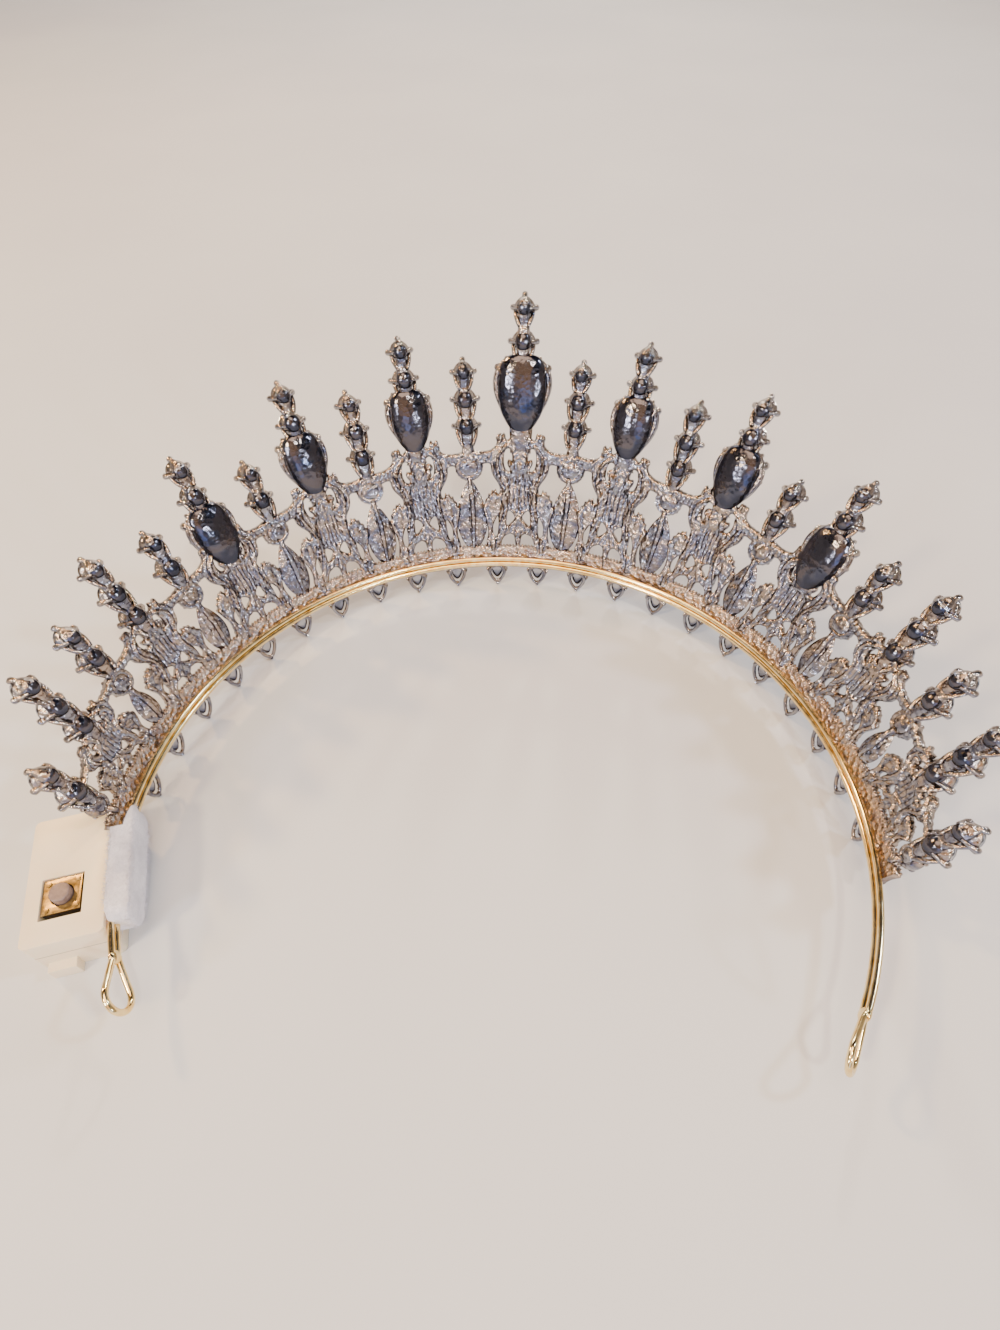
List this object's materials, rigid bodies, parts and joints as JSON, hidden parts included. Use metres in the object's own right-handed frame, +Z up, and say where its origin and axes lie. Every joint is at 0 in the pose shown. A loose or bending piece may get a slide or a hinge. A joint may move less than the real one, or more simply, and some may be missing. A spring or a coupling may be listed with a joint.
{
  "type": "diadem",
  "caption": "Light-up bridal diadem: cast silver-tone crown of tall crystal-set points over a pierced scroll gallery, on a doubled gold wire headband with end loops and a small battery box.",
  "frame": {"origin": "middle of the bounding box, on the surface the diadem stands on", "axes": "+X to the wearer's right as seen from behind, +Y to the front of the crown, +Z up"},
  "size_m": [0.1595, 0.1281, 0.0593],
  "materials": {
    "silver_plate": "bright silver plating on a zinc casting, rough cast at the back",
    "gold_wire": "bright pale gold plating on steel wire",
    "crystal": "clear cut rhinestone",
    "box_plastic": "warm white moulded plastic, satin gloss",
    "black_plastic": "matte",
    "switch_metal": "thin stamped plate, yellowish",
    "button_plastic": "satin brown-grey",
    "felt": "pressed white felt"
  },
  "bodies": {
    "crown": {"headband": "gold_wire", "crown_frame": "silver_plate", "pear_stone_centre": "crystal", "pear_stone_left_1": "crystal", "pear_stone_left_2": "crystal", "pear_stone_left_3": "crystal", "pear_stone_right_1": "crystal", "pear_stone_right_2": "crystal", "pear_stone_right_3": "crystal", "large_point_stones": "crystal", "small_point_stones": "crystal", "gallery_stones": "crystal", "band_stones": "crystal", "battery_box": "box_plastic", "switch_base": "black_plastic", "switch_plate": "switch_metal", "felt_pad": "felt"},
    "button": {"switch_button": "button_plastic"}
  },
  "joints": [
    {"name": "button_press", "type": "slide", "parent": "crown", "child": "button", "axis": [0, 0, -1], "range_m": [0, 0.00025], "stiffness_N_per_m": 4000, "springref_m": -0.0002}
  ]
}
